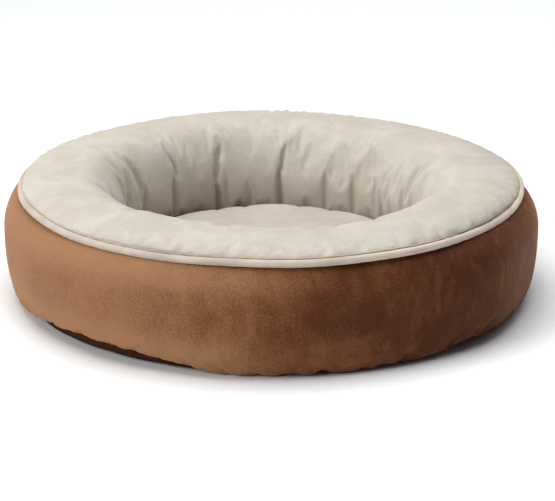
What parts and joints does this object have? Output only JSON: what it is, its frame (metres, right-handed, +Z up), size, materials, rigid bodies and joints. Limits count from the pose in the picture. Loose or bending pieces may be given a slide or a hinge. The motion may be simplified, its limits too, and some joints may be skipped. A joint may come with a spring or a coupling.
{
  "type": "round bolster pet bed",
  "caption": "Round pet bed: a stuffed bolster ring with a suede wall, a piped plush top and a quilted base, and a loose zipped cushion in its well.",
  "frame": {"origin": "on the floor under the centre of the bed, at the lowest face of the grip dots", "axes": "+Z up through the middle of the well; -Y towards the front, where the cushion's zip is; +Y towards the care label"},
  "size_m": [0.51, 0.51, 0.12],
  "materials": {
    "suede_brown": "brushed suede with a short nap",
    "plush_cream": "short pile plush",
    "piping_cloth": "smooth woven",
    "cotton_cord": "twisted cotton",
    "polyester_fill": "loose fibre",
    "base_cloth": "plain woven",
    "lining_cloth": "plain woven",
    "grip_rubber": "matt",
    "label_tape": "satin woven",
    "nonwoven_pouch": "bonded fibre",
    "zip_tape": "herringbone woven",
    "zip_nylon": "satin",
    "zip_metal": "satin"
  },
  "bodies": {
    "bed": {"wall_panel": "suede_brown", "top_panel": "plush_cream", "piping_cover": "piping_cloth", "piping_cord": "cotton_cord", "bolster_fill": "polyester_fill", "base_panel": "base_cloth", "base_wadding": "polyester_fill", "floor_lining": "lining_cloth", "grip_dots": "grip_rubber", "care_label": "label_tape"},
    "cushion": {"cushion_top": "plush_cream", "cushion_boxing": "plush_cream", "cushion_underside": "lining_cloth", "cushion_pouch": "nonwoven_pouch", "cushion_fill": "polyester_fill", "zip_tape_upper": "zip_tape", "zip_tape_lower": "zip_tape", "zip_coil_upper": "zip_nylon", "zip_coil_lower": "zip_nylon", "zip_top_stops": "zip_metal", "zip_bottom_stop": "zip_metal"},
    "slider": {"zip_slider": "zip_metal"}
  },
  "joints": [
    {"name": "cushion_lift", "type": "slide", "parent": "bed", "child": "cushion", "axis": [0, 0, 1], "range_m": [0, 0.25]},
    {"name": "zip_slide", "type": "hinge", "parent": "cushion", "child": "slider", "pos_m": [0, 0, 0.0228], "axis": [0, 0, 1], "range_deg": [0, 90]}
  ]
}
